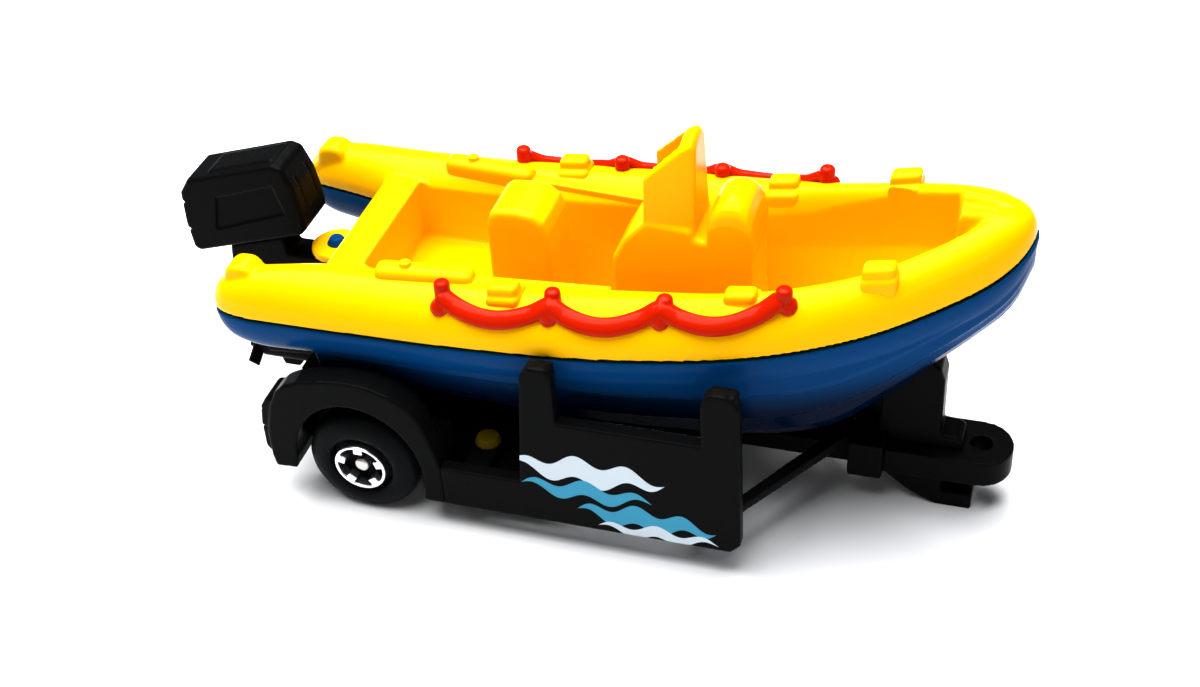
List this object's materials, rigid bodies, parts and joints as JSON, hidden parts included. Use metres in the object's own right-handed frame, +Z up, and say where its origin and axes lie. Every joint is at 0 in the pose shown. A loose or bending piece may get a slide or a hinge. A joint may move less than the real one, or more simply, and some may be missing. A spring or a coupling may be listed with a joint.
{
  "type": "toy boat on trailer",
  "caption": "Small moulded toy inflatable rescue boat with console, outboard motor and grab lines, resting on a two-wheeled launching trailer with hitch plate and sloped side boards.",
  "frame": {"origin": "on the floor under the middle of the whole toy", "axes": "+X to the bow and the hitch plate, +Y to port, +Z up; the toy is symmetrical about the XZ plane"},
  "size_m": [0.077, 0.0304, 0.0351],
  "materials": {
    "yellow_plastic": "satin moulded plastic",
    "blue_plastic": "gloss moulded plastic",
    "red_paint": "gloss red enamel printed over plastic",
    "black_plastic": "satin black plastic",
    "tyre_rubber": "matt black",
    "chrome_trim": "bright foil print",
    "steel_axle": "plain drawn wire"
  },
  "bodies": {
    "boat_and_trailer": {"deck_moulding": "yellow_plastic", "aft_seat": "yellow_plastic", "helm_console": "yellow_plastic", "deck_stud_port": "yellow_plastic", "deck_stud_starboard": "yellow_plastic", "hull": "blue_plastic", "pivot_pin": "blue_plastic", "grab_line_port": "red_paint", "grab_line_starboard": "red_paint", "chassis": "black_plastic", "drawbar": "black_plastic", "bow_post": "black_plastic", "mudguard_port": "black_plastic", "mudguard_starboard": "black_plastic", "side_panel_port": "black_plastic", "side_panel_starboard": "black_plastic", "axle": "steel_axle"},
    "wheel_pair_port": {"wheel_port": "tyre_rubber", "hub_trim_port": "chrome_trim"},
    "wheel_pair_starboard": {"wheel_starboard": "tyre_rubber", "hub_trim_starboard": "chrome_trim"},
    "outboard": {"outboard_cowl": "black_plastic", "outboard_leg": "black_plastic", "propeller": "black_plastic"}
  },
  "joints": [
    {"name": "wheel_port_spin", "type": "hinge", "parent": "boat_and_trailer", "child": "wheel_pair_port", "pos_m": [-0.01773, 0.01302, 0.00525], "axis": [0, 1, 0], "continuous": true},
    {"name": "wheel_starboard_spin", "type": "hinge", "parent": "boat_and_trailer", "child": "wheel_pair_starboard", "pos_m": [-0.01773, -0.01302, 0.00525], "axis": [0, 1, 0], "continuous": true},
    {"name": "outboard_steer", "type": "hinge", "parent": "boat_and_trailer", "child": "outboard", "pos_m": [-0.02438, 0, 0.0168], "axis": [0, 0, 1], "range_deg": [-28, 28]}
  ]
}
